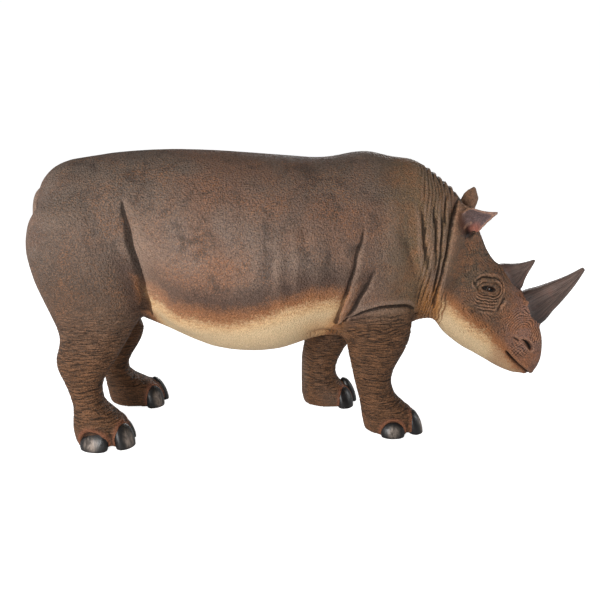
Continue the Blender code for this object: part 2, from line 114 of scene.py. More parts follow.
BODY_FOLDS = (
    Overlap(FLANK_FOLD, 0.036, 0.055, 0.011, (0.34, 0.12)),
    Overlap(SHOULDER_FOLD, 0.018, 0.024, 0.007, (0.65, 0.05)),
    Overlap(ARM_FOLD, 0.012, 0.02, 0.005, (0.65, 0.1)),
    Overlap(ELBOW_FOLD, 0.025, 0.013, 0.008, (0.12, 0.15)),
    # the neck
    Groove(((0.44, 1.34), (0.525, 1.08), (0.6, 0.86), (0.585, 0.75)), 0.013, 0.044, 0, (0.3, 0.2)),
    Groove(((0.575, 1.46), (0.58, 1.36), (0.623, 1.05), (0.635, 0.98)), 0.008, 0.012, 0.004, (0.5, 0.4)),
    Groove(((0.662, 1.45), (0.661, 1.35), (0.678, 1.14), (0.672, 0.93)), 0.01, 0.011, 0.005, (0.5, 0.3)),
    Groove(((0.728, 1.46), (0.719, 1.32), (0.704, 1.07), (0.684, 0.82)), 0.013, 0.01, 0.006, (0.4, 0.2)),
    Groove(((0.774, 1.45), (0.743, 1.37), (0.73, 1.21)), 0.01, 0.009, 0.005, (0.4, 0.4)),
    Overlap(JAW_FOLD, 0.024, 0.026, 0.008, (0.1, 0.15)),
    # between the ribs
    Groove(((-0.302, 1.33), (-0.285, 1.16), (-0.308, 0.88)), 0.0072, 0.038),
    Groove(((-0.205, 1.3), (-0.176, 1.1), (-0.192, 0.88)), 0.0068, 0.036),
    Groove(((-0.12, 1.4), (-0.084, 1.2), (-0.074, 1.08), (-0.096, 0.9)), 0.008, 0.038),
    Groove(((0.04, 1.33), (0.07, 1.14), (0.06, 0.9)), 0.0076, 0.044),
    Groove(((-0.52, 1.3), (-0.5, 1.1), (-0.515, 0.9)), 0.006, 0.048),
    # behind the elbow, and down the shank
    Groove(((0.147, 0.622), (0.052, 0.664), (-0.025, 0.661), (-0.083, 0.64)),
           0.006, 0.016, 0.003, (0.2, 0.4)),
    Groove(((-1.0, 0.78), (-1.099, 0.669), (-1.147, 0.601), (-1.193, 0.51)), 0.01, 0.03),
)
HEAD_FOLDS = (
    # behind, before and below the eye
    Groove(((0.962, 0.925), (0.985, 0.885), (1.01, 0.85)), 0.005, 0.007, 0.002, (0.2, 0.3)),
    Groove(((1.168, 0.828), (1.146, 0.795), (1.128, 0.765), (1.114, 0.722)), 0.006, 0.009, 0.003),
    Groove(((0.964, 0.79), (0.999, 0.715), (1.053, 0.649), (1.092, 0.616)), 0.008, 0.03),
    # the brow, raised
    Groove(((0.926, 0.946), (0.997, 0.972), (1.09, 0.945), (1.134, 0.902)), -0.006, 0.018),
    # behind the nostril
    Groove(((1.215, 0.568), (1.245, 0.553), (1.295, 0.528)), 0.005, 0.007, 0.002),
    # below the near ear
    Groove(((0.905, 1.245), (0.934, 1.205), (0.955, 1.17)), 0.014, 0.02, 0, (0.3, 0.4)),
)
# The rings of the lids: how far from the slit, depth, width, and their arc in degrees up from ahead.
LID_RINGS = (
    (0.034, 0.0095, 0.0045, 5, 190), (0.066, 0.0075, 0.006, 30, 170),
    (0.025, 0.007, 0.0036, -65, 65), (0.042, 0.0085, 0.0046, -70, 75), (0.059, 0.0065, 0.0052, -65, 62),
    (0.026, 0.006, 0.0036, -175, -25), (0.039, 0.008, 0.0046, -165, -25), (0.055, 0.007, 0.005, -155, -32),
    (0.072, 0.0062, 0.0055, -148, -38), (0.09, 0.0056, 0.006, -140, -44), (0.109, 0.0048, 0.006, -130, -50),
    (0.128, 0.004, 0.006, -122, -55),
)
MOUTH = ((1.185, 0.482), (1.2, 0.463), (1.234, 0.424), (1.274, 0.385), (1.315, 0.35), (1.35, 0.318))
NOSTRIL = ((1.29, 0.546), (1.302, 0.539), (1.318, 0.524), (1.331, 0.506), (1.335, 0.494))
NOSTRIL_MIDDLE = (1.322, 0.52)
MUZZLE = (1.286, 0.578)
LIP_KNOBS = (1.268, 0.49)
EAR_PIT = (0.926, 1.192)  # the hollow under the root of an ear, sunk and darkened with painted shadow

# The upper edge of the cream paint, along the belly and along the jaw.
BELLY_EDGE = ((-0.95, 0.95), (-0.87, 0.89), (-0.78, 0.82), (-0.65, 0.79), (-0.48, 0.775), (-0.32, 0.81),
              (-0.16, 0.86), (-0.02, 0.89), (0.1, 0.885))
JAW_EDGE = ((0.7, 0.86), (0.764, 0.834), (0.861, 0.756), (0.956, 0.669), (1.058, 0.595), (1.113, 0.54),
            (1.204, 0.435), (1.252, 0.375), (1.3, 0.33))

# The middle lines of the horns on the straight head, from root to tip, and where the skin ends on them.
HORN_LINES = {
    "front_horn": ((1.3, 0.69), (1.3565, 0.728), (1.4185, 0.7745), (1.481, 0.82), (1.5625, 0.8885),
                   (1.64, 0.972)),
    "rear_horn": ((1.1675, 0.88), (1.21, 0.918), (1.2515, 0.943), (1.297, 0.978), (1.347, 1.02)),
}
HORN_STUBS = {"front_horn": (1.355, 0, 0.74), "rear_horn": (1.212, 0, 0.92)}


# ---- small tools ----

def pick_up(*items):
    """Makes items the only selected objects, the first of them active."""
    for item in bpy.context.selected_objects:
        item.select_set(False)
    for item in items:
        item.select_set(True)
    bpy.context.view_layer.objects.active = items[0] if items else None


def apply_modifier(item, kind, **settings):
    pick_up(item)
    step = item.modifiers.new(kind.title(), kind)
    for name, value in settings.items():
        setattr(step, name, value)
    bpy.ops.object.modifier_apply(modifier=step.name)


def remeshed(item, size):
    apply_modifier(item, "REMESH", mode="VOXEL", voxel_size=size)


def smoothed(item, rounds):
    apply_modifier(item, "SMOOTH", factor=0.5, iterations=rounds)


def subdivided(item, levels):
    apply_modifier(item, "SUBSURF", levels=levels, render_levels=levels)


def edited(item, operator, **settings):
    """Runs an edit mode operator on all of item."""
    pick_up(item)
    bpy.ops.object.mode_set(mode="EDIT")
    bpy.ops.mesh.select_all(action="SELECT")
    operator(**settings)
    bpy.ops.object.mode_set(mode="OBJECT")
    return item


def copy_of_node(node, ending="_form"):
    """A merged copy of a CAD node, as a new object."""
    item = bpy.data.objects.new(node + ending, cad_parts[node].data.copy())
    bpy.context.scene.collection.objects.link(item)
    item.data.materials.clear()
    return edited(item, bpy.ops.mesh.remove_doubles, threshold=0.0001)


def joined(items):
    pick_up(*items)
    bpy.ops.object.join()
    items[0].name = items[0].data.name = "hide"
    return items[0]


def ball(name, **settings):
    pick_up()
    bpy.ops.mesh.primitive_uv_sphere_add(**settings)
    item = bpy.context.object
    item.name = item.data.name = name
    return item


def turned(point, side=LEFT):
    """Where the turned head holds a point given on one side of the straight head."""
    return HEAD_TURN @ (Vector((point[0], side * point[1], point[2])) - HEAD_PIVOT) + HEAD_PIVOT


def on_straight_head(points):
    """Points in the frame where the head looks straight ahead."""
    pivot = np.array(HEAD_PIVOT)
    return (points - pivot) @ np.array(HEAD_TURN) + pivot


def corners_of(mesh, field="co"):
    values = np.empty(len(mesh.vertices) * 3)
    mesh.vertices.foreach_get(field, values)
    return values.reshape(-1, 3)


def shape_of(mesh):
    return corners_of(mesh), corners_of(mesh, "normal")


def give_corners(mesh, corners):
    mesh.vertices.foreach_set("co", corners.ravel())
    mesh.update()


def write_on(mesh, **marks):
    """Stores named numbers, one for each corner, for a material to read."""
    for name, values in marks.items():
        layer = mesh.attributes.new(name, "FLOAT", "POINT")
        layer.data.foreach_set("value", values.astype(np.float32))


def rise(low, high, value):
    """0 below low, 1 above high, and smooth between; low may be the larger."""
    t = np.clip((value - low) / (high - low), 0, 1)
    return t * t * (3 - 2 * t)


def band(value, out, full, full_end, out_end):
    """1 from full to full_end, and 0 past out and out_end."""
    return rise(out, full, value) * rise(out_end, full_end, value)


def bell(value, width):
    return np.exp(-((value / width) ** 2))


def wander(points, size, seed):
    """A smooth random field, about -1 to 1, whose swells are about size across."""
    rng = np.random.default_rng(seed)
    waves = rng.normal(size=(9, 3))
    waves *= (math.tau / size * rng.uniform(0.55, 1.45, 9) / np.linalg.norm(waves, axis=1))[:, None]
    return np.sin(points @ waves.T + rng.uniform(0, math.tau, 9)).sum(axis=1) / 4


def creases(turns):
    """0 on rounded ridges and -1 in narrow grooves, once for each whole turn."""
    return -((1 - np.abs(np.sin(np.pi * turns))) ** 2)


def wrinkles(measure, spacing, sway, points, size, seed):
    """Creases spacing apart across a measure, that sway by a share of a turn."""
    return creases(measure / spacing + sway * wander(points, size, seed))


CURVE = 0.5 * np.array(((0, 2, 0, 0), (-1, 0, 1, 0), (2, -5, 4, -1), (-1, 3, -3, 1)))


def curved(line, steps=8):
    """A smooth curve through the points of a line."""
    points = np.array(line, float)
    padded = np.vstack((2 * points[0] - points[1], points, 2 * points[-1] - points[-2]))
    powers = np.linspace(0, 1, steps, endpoint=False)[:, None] ** np.arange(4)
    return np.vstack([powers @ CURVE @ padded[i:i + 4] for i in range(len(points) - 1)] + [points[-1]])


def beside(line, spots):
    """How far each spot lies to the left of a line's run, and its share along it."""
    points = curved(line)
    lengths = np.linalg.norm(np.diff(points, axis=0), axis=1)
    starts = np.concatenate(([0], np.cumsum(lengths)))
    nearest = np.full(len(spots), np.inf)
    left, share = np.zeros(len(spots)), np.zeros(len(spots))
    for i, length in enumerate(lengths):
        run = (points[i + 1] - points[i]) / length
        away = spots - points[i]
        along = np.clip(away @ run, 0, length)
        gap = np.linalg.norm(away - along[:, None] * run, axis=1)
        closer = gap < nearest
        nearest[closer] = gap[closer]
        side = np.sign(run[0] * away[:, 1] - run[1] * away[:, 0])
        left[closer] = (gap * side)[closer]
        share[closer] = ((starts[i] + along) / starts[-1])[closer]
    return left, share


def fold_profile(fold, spots, sway):
    """How far a fold lifts the skin at each spot on the animal's side, with grooves below 0."""
    lift = np.zeros(len(spots))
    reach = 5 * fold.width + 0.02
    points = np.array(fold.line)
    near = np.all((spots > points.min(axis=0) - reach) & (spots < points.max(axis=0) + reach), axis=1)
    left, share = beside(fold.line, spots[near])
    left += sway[near] * min(0.006, 0.3 * fold.width)
    if isinstance(fold, Overlap):
        hollow = -fold.depth * np.exp(-(-left).clip(0) / fold.width)
        climb = rise(0, FOLD_WALL, left)
        lip = fold.lip * np.exp(-(left - FOLD_WALL).clip(0) / (1.6 * fold.width))
        shape = np.where(left < 0, hollow, -fold.depth * (1 - climb) + lip * climb)
    else:
        shape = -fold.depth * bell(left, fold.width)
        for middle in (-2.3 * fold.width, 2.3 * fold.width):
            shape += fold.lip * bell(left - middle, 1.4 * fold.width)
    begin, end = fold.ease
    lift[near] = shape * band(share, 0, begin, 1 - end, 1)
    return lift


# ---- the skin's form ----

def skin_form():
    """One closed skin over flesh, ears and tail, with the sockets of horns, nails and eyes filled."""
    parts = [copy_of_node(node) for node in FLESH + NAILS + ["eye_right", "eye_left"]]
    away = HEAD_TURN @ Vector((0.8, 0, 0.6))
    for node, root in HORN_STUBS.items():
        parts.append(edited(copy_of_node(node), bpy.ops.mesh.bisect, plane_co=turned(root), plane_no=away,
                            use_fill=True, clear_outer=True))
    form = joined(parts)
    remeshed(form, FORM_VOXEL)
    smoothed(form, FORM_SOFTEN)
    subdivided(form, 1)
    thin = [copy_of_node(node) for node in THIN_FLESH]
    for item in thin:
        subdivided(item, 2)
    form = joined([form, *thin])
    remeshed(form, SKIN_VOXEL)
    smoothed(form, SKIN_SOFTEN)
    return form


def subdivide_where(item, chosen):
    """Halves the faces whose middles are chosen, given their middles as rows."""
    faces = item.data.polygons
    middles = np.empty(len(faces) * 3)
    faces.foreach_get("center", middles)
    pick_up(item)
    faces.foreach_set("select", chosen(middles.reshape(-1, 3)))
    bpy.ops.object.mode_set(mode="EDIT")
    bpy.ops.mesh.select_mode(type="FACE")
    bpy.ops.mesh.subdivide(number_cuts=1, smoothness=0.4)
    bpy.ops.mesh.select_all(action="DESELECT")
    bpy.ops.object.mode_set(mode="OBJECT")


def on_legs(points):
    return (sum(leg_weight(points)) > 0.3) & (points[:, 2] > 0.02)


def on_face(points):
    ahead, _, up = on_straight_head(points).T
    return (ahead > 0.86) & (up < 1.15)


def on_eyes(points, reach=0.034):
    straight = on_straight_head(points)
    return (eye_slit(straight)[2] < reach) & (np.abs(straight[:, 1]) > 0.09)


def on_details(points):
    straight = on_straight_head(points)
    mouth = np.abs(beside(MOUTH, straight[:, [0, 2]])[0]) < 0.028
    nostril = np.abs(beside(NOSTRIL, straight[:, [0, 2]])[0]) < 0.03
    return on_eyes(points, 0.06) | (mouth & (straight[:, 0] > 1.15)) | nostril


def eye_slit(straight):
    """Along and across the slit of the eye from its middle, and the distance from the slit's axis."""
    ahead, up = straight[:, 0] - EYE.x, straight[:, 2] - EYE.z - 0.002
    along = ahead * math.cos(EYE_TILT) + up * math.sin(EYE_TILT)
    across = up * math.cos(EYE_TILT) - ahead * math.sin(EYE_TILT)
    past = along - np.clip(along, EYE_BACK + 0.016, EYE_FRONT - 0.012)
    return along, across, np.hypot(past, across)


def foot_frames(foot):
    """Each toe of a foot, the middle of its nail, and the nail's axes outward, across and up."""
    end, side_name = foot.split("_")
    side = SIDES[side_name]
    foot_x, foot_y = FEET[foot]
    for toe in TOES[end]:
        if toe.name == "middle" and side == LEFT:
            toe = toe._replace(height=toe.height * TALL_MIDDLE[end])
        bearing = math.radians(toe.bearing)
        middle = (foot_x + FOOT_LENGTH * math.cos(bearing),
                  side * (foot_y + FOOT_WIDTH * math.sin(bearing)), toe.height * NAIL_MIDDLE)
        turn = Matrix.Rotation(side * bearing, 3, "Z") @ Matrix.Rotation(NAIL_LEAN, 3, "Y")
        yield toe, np.array(middle), np.array(turn)


def by_ear(name, points):
    """How far points lie along an ear, across it and out of its hollow, and these three axes as columns."""
    side, ear = SIDES[name], EARS[name]
    aim = HEAD_TURN
    for degrees, axis in ((side * ear.outward, "Z"), (-ear.lift, "Y"), (side * ear.roll, "X")):
        aim = aim @ Matrix.Rotation(math.radians(degrees), 3, axis)
    aim = np.array(aim)
    return *((points - np.array(turned(ear.root, side))) @ aim).T, aim


def folds_lift(folds, points, size, seed):
    sway = wander(points, size, seed)
    return sum(fold_profile(fold, points[:, [0, 2]], sway) for fold in folds)


def big_folds(points):
    """The lift of the body's folds at each point of the skin."""
    outward = np.abs(points[:, 1])
    lift = folds_lift(BODY_FOLDS, points, 0.16, 11) * rise(0.03, 0.12, outward)
    # The folds of the neck run over the nape as a row of rounded rolls.
    nape = rise(0.16, 0.04, outward) * rise(1.34, 1.42, points[:, 2])
    place = points[:, 0] + 0.1 * outward
    rolls = np.cos(math.tau * (place - 0.715) / 0.034)
    return lift + 0.007 * nape * band(place, 0.62, 0.7, 0.82, 0.86) * rolls


def rings_round_eye(straight):
    """The lids' folds, as grooves round the slit, each over its own arc."""
    along, across, gap = eye_slit(straight)
    angle = np.degrees(np.arctan2(across, along))
    gap = gap + 0.0018 * wander(straight, 0.035, 21)
    lift = np.zeros(len(gap))
    for distance, depth, width, begin, end in LID_RINGS:
        arc = sum(band(angle + turn, begin, begin + RING_FADE, end - RING_FADE, end) for turn in (0, 360))
        off = gap - distance
        lips = bell(off - 2.2 * width, 1.5 * width) + bell(off + 2.2 * width, 1.5 * width)
        lift += arc * (-depth * bell(off, width) + 0.45 * depth * lips)
    return lift


def muzzle_wrinkles(straight):
    """Fine wrinkles in arches over the nostril, and slanting ones on the temple and cheek."""
    ahead, _, up = straight.T
    before, over = ahead - MUZZLE[0], up - MUZZLE[1]
    gap = np.hypot(before, 0.9 * over)
    arches = band(gap, 0.03, 0.05, 0.12, 0.2) * rise(-0.06, 0.02, over + 0.5 * before)
    lift = 0.0066 * arches * wrinkles(gap, 0.0135, 0.55, straight, 0.07, 31)
    lift *= 0.7 + 0.3 * wander(straight, 0.04, 32)
    # knobs on the lips
    knobs = rise(0.085, 0.045, np.hypot(ahead - LIP_KNOBS[0], up - LIP_KNOBS[1]))
    knobs *= rise(0, 0.012, beside(MOUTH, straight[:, [0, 2]])[0])
    lift += 0.0034 * knobs * (wrinkles(ahead + up, 0.024, 0.5, straight, 0.06, 36)
                              + wrinkles(ahead - up, 0.02, 0.5, straight, 0.06, 37))
    # the cheek and temple: lines that run down and forward
    cheek = band(ahead, 0.86, 0.92, 1.16, 1.24) * band(up, 0.52, 0.62, 1.16, 1.3)
    cheek *= rise(-0.35, 0.35, wander(straight, 0.05, 34))
    return lift + cheek * (0.0034 * wrinkles(ahead + 0.55 * up, 0.0185, 0.9, straight, 0.1, 33)
                           + 0.0014 * wrinkles(ahead - 1.2 * up, 0.026, 1.1, straight, 0.08, 35))


def mouth_and_nostril(straight):
    """The mouth's slit, under an overhanging lip, and the nostril: the lift, and how dark painted shade makes
    each place.
    """
    near = (straight[:, 0] > 1.1) & (straight[:, 2] < 0.66)
    spots = straight[near][:, [0, 2]]
    lift, dark = np.zeros(len(near)), np.zeros(len(near))
    left, share = beside(MOUTH, spots)
    strength = rise(0, 0.18, share)
    slit = -0.024 * np.where(left > 0, 1 - rise(0, 0.007, left), bell(left, 0.0085))
    slit += 0.007 * bell(left - 0.02, 0.012) + 0.004 * bell(left + 0.026, 0.012)
    mouth_dark = strength * bell(left + 0.002, 0.0105)

    left, share = beside(NOSTRIL, spots)
    side = rise(0.03, 0.06, np.abs(straight[near, 1]))
    wide = 0.004 + 0.01 * rise(0.05, 0.5, share) * rise(1.2, 0.85, share)
    hole = -0.026 * bell(left, wide) + 0.006 * bell(np.abs(left) - 0.02, 0.01)
    # puckers that run into the nostril
    ahead, up = (spots - np.array(NOSTRIL_MIDDLE)).T
    pucker = creases(7.5 * np.arctan2(up, ahead) / math.pi)
    pucker *= band(np.hypot(ahead, up), 0.012, 0.022, 0.035, 0.055)
    lift[near] = slit * strength + side * hole + 0.0032 * side * pucker
    # painted shade: near black down the mouth's slit and in the nostril
    dark[near] = np.maximum(mouth_dark, side * bell(left, 0.85 * wide))
    return lift, dark


def open_the_eye(points, straight):
    """Sinks the skin behind the eyeball inside the slit, and rolls the lids' edges round it."""
    along, across, _ = eye_slit(straight)
    outward = np.abs(straight[:, 1])
    near = (np.abs(along) < 0.1) & (np.abs(across) < 0.08) & (outward > 0.08)
    middle, half = (EYE_BACK + EYE_FRONT) / 2, (EYE_FRONT - EYE_BACK) / 2
    share = np.abs((along - middle) / half)
    rim = (1 - share**2).clip(0) ** 0.62 * np.where(across > 0, EYE_UP, EYE_DOWN)
    # metres outside the slit: up or down from it, or past its corners
    margin = np.where(share < 1, np.abs(across) - rim, np.hypot(across, (share - 1) * half))
    inside = rise(0.0015, -0.003, margin)
    behind = EYE_RADIUS**2 - (straight[:, 0] - EYE.x) ** 2 - (straight[:, 2] - EYE.z) ** 2
    surface = EYE.y + np.sqrt(behind.clip(0.00006))
    # the lids lie on the ball, and swell a little beyond it
    lid = surface + 0.0035 + 0.0045 * bell(margin - 0.009, 0.008)
    bed = np.maximum(surface - 0.012, EYE.y + 0.0095)
    grip = rise(0.034, 0.012, margin) * near
    wanted = outward * (1 - grip) + grip * (inside * bed + (1 - inside) * lid)
    moved = straight.copy()
    moved[:, 1] = np.sign(straight[:, 1]) * wanted
    pivot = np.array(HEAD_PIVOT)
    moved = (moved - pivot) @ np.array(HEAD_TURN).T + pivot
    return np.where(near[:, None], moved, points), inside * near, margin


def leg_weight(points):
    """1 on the legs below the belly, 0 on the body, for the forelegs and for the hind legs."""
    x, y, z = points.T
    outward = np.abs(y)
    fore_middle = np.where(y < 0, 0.4, 0.14)
    fore = rise(0.8, 0.7, z) * rise(0.3, 0.24, np.abs(x - fore_middle) - 0.4 * (0.7 - z).clip(0, 0.1))
    hind = rise(-0.86, -0.95, x) * rise(0.84, 0.7, z) * rise(0.02, 0.06, outward)
    return fore * rise(0.04, 0.09, outward), hind


def body_wrinkles(points):
    """Uneven rings round the legs, upright wrinkles on neck and throat, and the strands of the tail."""
    x, y, z = points.T
    fore, hind = leg_weight(points)
    height = z + 0.02 * wander(points, 0.3, 41) + 0.007 * wander(points, 0.09, 42)
    patchy = rise(-0.5, 0.25, wander(points * (1, 1, 2.5), 0.16, 43))
    rings = 0.0036 * creases(height / 0.0185) + 0.0032 * creases(height / 0.041 + 0.4)
    sagging = 0.0034 * creases((height + 1.1 * (x + 1.24) ** 2) / 0.0215)
    slanting = 0.0052 * creases((height - 0.25 * (x - 0.4)) / 0.026)
    high = rise(0.42, 0.52, z)
    legs = rise(0.09, 0.15, z) * (fore * rings + hind * (rings * (1 - high) + sagging * high))
    legs = patchy * (legs + fore * rise(0.52, 0.58, z) * slanting)

    neck = rise(0.56, 0.62, x) * rise(0.8, 0.74, x - 0.15 * (z - 1.2).clip(0, 1)) * rise(0.7, 0.85, z)
    neck *= 0.0046 * wrinkles(x - 0.13 * (z - 1), 0.024, 0.5, points * (1, 1, 0.5), 0.16, 51)
    throat = band(x, 0.62, 0.66, 0.76, 0.8) * rise(0.88, 0.8, z)
    throat *= 0.006 * wrinkles(x, 0.021, 0.4, points, 0.12, 52)
    armpit = band(x, -0.09, -0.04, 0.13, 0.18) * band(z, 0.53, 0.56, 0.65, 0.668)
    armpit *= 0.0034 * wrinkles(x + 0.15 * z, 0.022, 0.3, points, 0.1, 53)

    tuft = rise(-1.52, -1.56, x) * band(z, 0.5, 0.6, 0.8, 0.84)
    tuft *= 0.004 * creases(np.arctan2(y, x + 1.6) / math.tau * 13 + 0.2 * np.sin(40 * z))
    return legs + neck + throat + armpit + tuft


def shaped_feet(points):
    """Grooves between the toes, a bed under each nail and a rolled rim of skin round it."""
    lift, rims = np.zeros(len(points)), np.zeros(len(points))
    for foot, (foot_x, foot_y) in FEET.items():
        end, side_name = foot.split("_")
        side = SIDES[side_name]
        away = points[:, :2] - (foot_x, side * foot_y)
        near = (np.hypot(*away.T) < 0.25) & (points[:, 2] < 0.26) & (side * points[:, 1] > 0)
        bearing = np.degrees(np.arctan2(side * away[near, 1] / FOOT_WIDTH, away[near, 0] / FOOT_LENGTH))
        fade = rise(0.17, 0.07, points[near, 2])
        marks = [toe.bearing for toe in TOES[end]]
        for one, next_one in zip(marks, marks[1:]):
            lift[near] -= 0.013 * fade * bell(bearing - 0.5 * (one + next_one), 11)
        for toe, middle, turn in foot_frames(foot):
            outward, across, up = ((points[near] - middle) @ turn).T
            up /= toe.height * NAIL_RISE
            ring = np.hypot(across / (toe.width / 2), up)
            front = rise(-0.03, -0.005, outward)
            lift[near] += front * (-0.013 * rise(0.93, 0.84, ring) + 0.0042 * bell(ring - 1.05, 0.12)
                                   - 0.002 * bell(ring - 1.4, 0.12) * rise(0, 0.5, up))
            rims[near] = np.maximum(rims[near], front * bell(ring - 1.02, 0.16))
    return lift, rims


def cupped_ears(points):
    """Sinks the middle of each ear: a deep bowl at its root, a shallow scoop at its tip."""
    moved = points.copy()
    for name, ear in EARS.items():
        along, across, out, aim = by_ear(name, points)
        along /= ear.length
        across /= ear.half_width
        near = (np.abs(out) < ear.half_width * 1.4) & (SIDES[name] * points[:, 1] > 0)
        up = np.sign(aim[2, 1])
        if name == "right":
            wide = np.where(across * up > 0, 0.34 * bell(along - 0.3, 0.24), 0.16 * bell(along - 0.2, 0.22))
            bend = up * 0.013 * np.clip(along, 0, 1) ** 2
        else:
            wide, bend = 0.12 * bell(along - 0.78, 0.2), 0
        wide *= ear.half_width * np.sign(across) * rise(0.1, 0.8, np.abs(across))
        moved += np.where(near & (along > -0.02), wide + bend, 0)[:, None] * aim[:, 1]
        cup = band(along, 0.02, 0.18, 0.45, 0.95) * (1 - np.clip(np.abs(across), 0, 1) ** 2)
        moved += np.where(near, -0.009 * cup, 0)[:, None] * aim[:, 2]
    return moved


def inside_ears(points, normals):
    """The hollow faces of the ears, the share along each ear, and how far down across it."""
    inner, along, down = np.zeros(len(points)), np.full(len(points), -1.0), np.zeros(len(points))
    for name, ear in EARS.items():
        ahead, across, out, aim = by_ear(name, points)
        near = (ahead > -0.01) & (ahead < ear.length + 0.02) & (np.abs(across) < ear.half_width * 1.2)
        near &= (np.abs(out) < ear.half_width * 1.3) & (SIDES[name] * points[:, 1] > -0.05)
        inner[near] = np.maximum(inner, rise(0.05, 0.45, normals @ aim[:, 2]))[near]
        along[near] = np.maximum(along, ahead / ear.length)[near]
        down[near] = (SIDES[name] * across / ear.half_width)[near]
    return dict(ear_inside=inner, ear_along=along, ear_down=down)


def height_over(edge, places):
    """How high an edge line lies at each place ahead."""
    return np.interp(places, *curved(edge).T)


def paint_places(points, straight):
    """Where each paint lies on the hide, from 0 to 1, with the painted pool of light on the flank, and the
    metres above the edge of the cream.
    """
    x, y, z = points.T
    ahead, _, up = straight.T
    shift = np.where(y > 0, 0.1, 0)
    belly = z - height_over(BELLY_EDGE, x)
    belly = np.maximum(belly, 1.6 * (x - 0.125 - 0.35 * (z - 0.78) + 2.4 * shift * rise(0.8, 0.7, z)))
    belly = np.maximum(belly, 1.6 * (-0.935 - 0.18 * (z - 0.8) - x + shift * 0.4))
    jaw = np.maximum(up - height_over(JAW_EDGE, ahead), 2 * (0.735 + 0.1 * (up - 0.8) - ahead))
    jaw = np.maximum(jaw, 2 * (ahead - 1.3))
    on_head = rise(0.6, 0.7, ahead)
    # the brown of the legs: slowly down the haunch, and below the elbow in front
    hind = rise(-0.84, -1.0, x - 0.15 * (z - 0.8)) * rise(1.15, 0.45, z)
    front = band(x, 0.12, 0.2, 0.62, 0.7) * rise(0.88, 0.68, z)
    front *= rise(0, -0.03, z - height_over(ELBOW_FOLD, x))
    far_front = rise(0.66, 0.56, z) * band(x, -0.08, 0, 0.64, 0.72) * rise(0.06, 0.14, np.abs(y))
    # rust on the throat and, weaker, behind the elbow
    throat = rise(0.56, 0.66, x) * rise(0.8, 0.75, ahead) * rise(1.0, 0.82, z)
    armpit = band(x, -0.14, 0, 0.12, 0.22) * band(z, 0.52, 0.6, 0.68, 0.8)
    return dict(
        cream=np.clip(belly * (1 - on_head) + jaw * on_head, -0.35, 0.35),
        leg=np.maximum(hind, np.maximum(front, far_front)),
        throat=np.maximum(throat, 0.55 * armpit),
        neck=rise(0.26, 0.62, x) * rise(0.86, 0.78, ahead),
        haunch=rise(-0.92, -1.05, x + 0.25 * (z - 0.9)) * bell(z - 0.92, 0.28),
        # a painted pool of light on the middle of the flank, away from the back and the belly
        flank_glow=bell(x + 0.55, 0.62) * bell(z - 1.12, 0.3) * rise(0.05, 0.25, np.abs(y)),
    )


def relief_of(mesh, rounds=24):
    """How far each corner stands out of the smoothed surface round it; grooves are below 0."""
    points, normals = shape_of(mesh)
    ends = np.empty(len(mesh.edges) * 2, dtype=np.int64)
    mesh.edges.foreach_get("vertices", ends)
    ends = ends.reshape(-1, 2).T
    here, there = np.hstack((ends, ends[::-1]))
    count = np.bincount(here)
    smooth = points.copy()
    for _ in range(rounds):
        total = np.stack([np.bincount(here, smooth[there, axis]) for axis in range(3)], axis=1)
        smooth = 0.5 * smooth + 0.5 * total / count[:, None]
    return ((points - smooth) * normals).sum(axis=1)


def sculpted_skin():
    item = skin_form()
    for chosen in (on_legs, on_face, on_details, on_eyes):
        subdivide_where(item, chosen)
    smoothed(item, 2)
    mesh = item.data

    points, normals = shape_of(mesh)
    foot_lift, rims = shaped_feet(points)
    fold_lift = big_folds(points)
    give_corners(mesh, cupped_ears(points + normals * (fold_lift + foot_lift)[:, None]))
    smoothed(item, 1)

    points, normals = shape_of(mesh)
    straight = on_straight_head(points)
    on_head = rise(0.78, 0.84, straight[:, 0])
    slit_lift, dark = mouth_and_nostril(straight)
    head_lift = folds_lift(HEAD_FOLDS, straight, 0.08, 12) * rise(0.03, 0.08, np.abs(straight[:, 1]))
    lift = on_head * (head_lift + rings_round_eye(straight) + muzzle_wrinkles(straight) + slit_lift)
    # a hollow under the root of the ear, sunk, and darkened below with painted shadow
    pit = bell(np.hypot(straight[:, 0] - EAR_PIT[0], straight[:, 2] - EAR_PIT[1]), 0.025)
    pit *= rise(0.06, 0.1, np.abs(straight[:, 1]))
    lift += body_wrinkles(points) - 0.008 * pit
    points = points + normals * lift[:, None]
    points, in_slit, margin = open_the_eye(points, on_straight_head(points))
    points[points[:, 2] < 0.004, 2] = 0
    give_corners(mesh, points)

    straight = on_straight_head(points)
    ahead, outward, up = straight.T
    # Painted shade in the hollows of the body's folds and of the head's grooves; the folds' lips get a
    # painted highlight.
    shade = np.maximum((-fold_lift - 0.007) / 0.012, -0.7 * on_head * head_lift / 0.01)
    # Painted shade, near black: in the mouth's slit and the nostril, under the ear's root, round the lids'
    # edges and behind the eyeball inside the slit.
    dark = np.maximum(np.maximum(dark, 0.85 * pit) * on_head, in_slit)
    eye_rim = bell(margin, 0.003) * (np.abs(outward) > 0.1) * on_head
    write_on(
        mesh,
        relief=np.clip(relief_of(mesh) / 0.0035, -1, 1),
        fold=np.clip(shade, 0, 1),
        fold_lip=np.clip(fold_lift / 0.008, 0, 1),
        dark=np.clip(np.maximum(dark, 0.75 * eye_rim), 0, 1),
        nail_rim=rims,
        head=on_head,
        muzzle=on_head * rise(1.05, 1.24, ahead - 0.25 * (up - 0.6)),
        **inside_ears(*shape_of(mesh)),
        **paint_places(points, straight),
    )
    mesh.calc_loop_triangles()
    apply_modifier(item, "DECIMATE", ratio=min(1, SKIN_TRIANGLES / len(mesh.loop_triangles)))
    points = corners_of(item.data)
    points[:, 2] = points[:, 2].clip(0)
    give_corners(item.data, points)
    item.data.shade_smooth()
    return item


# ---- horns, nails and eyes ----

